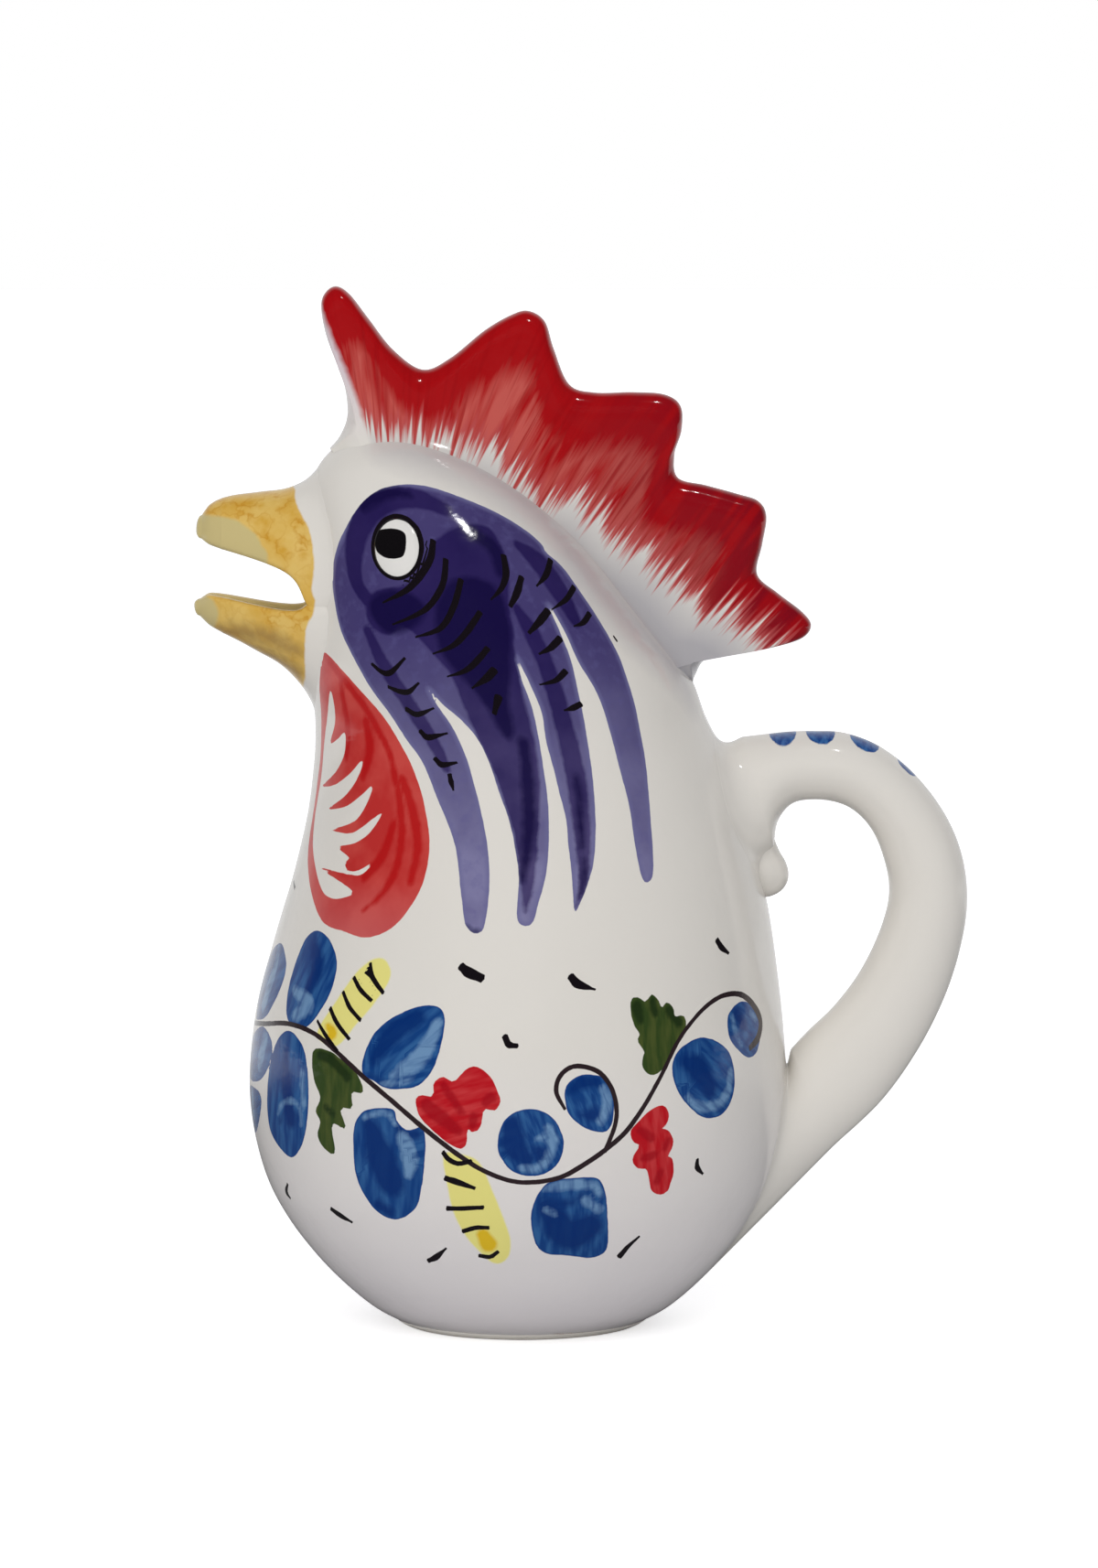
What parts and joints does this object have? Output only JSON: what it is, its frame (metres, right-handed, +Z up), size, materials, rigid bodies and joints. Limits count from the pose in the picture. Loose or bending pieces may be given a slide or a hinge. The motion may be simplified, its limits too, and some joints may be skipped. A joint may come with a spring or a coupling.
{
  "type": "rooster pitcher",
  "caption": "Hollow glazed ceramic jug shaped as a rooster: round belly, head with open pouring beak, pointed comb and a rear loop handle.",
  "frame": {"origin": "middle of the flat foot's underside, where the jug stands", "axes": "+Z up, -X towards the beak, +X towards the handle, the jug is the same on both sides of the XZ plane"},
  "size_m": [0.1858, 0.1296, 0.2495],
  "materials": {
    "bare_clay": "unglazed fired earthenware",
    "painted_glaze": "glossy white glaze with a painted vine",
    "head_glaze": "glossy white glaze with painted feathers",
    "comb_glaze": "glossy glaze, red brushwork over white",
    "beak_glaze": "glossy glaze with an ochre wash",
    "eye_glaze": "glossy white glaze with a black pupil",
    "handle_glaze": "glossy white glaze with blue dabs"
  },
  "bodies": {
    "root": {"foot": "bare_clay", "belly": "painted_glaze", "head": "head_glaze", "comb": "comb_glaze", "upper_beak": "beak_glaze", "lower_beak": "beak_glaze", "left_eye": "eye_glaze", "right_eye": "eye_glaze", "handle": "handle_glaze", "handle_scroll": "handle_glaze"}
  },
  "joints": []
}
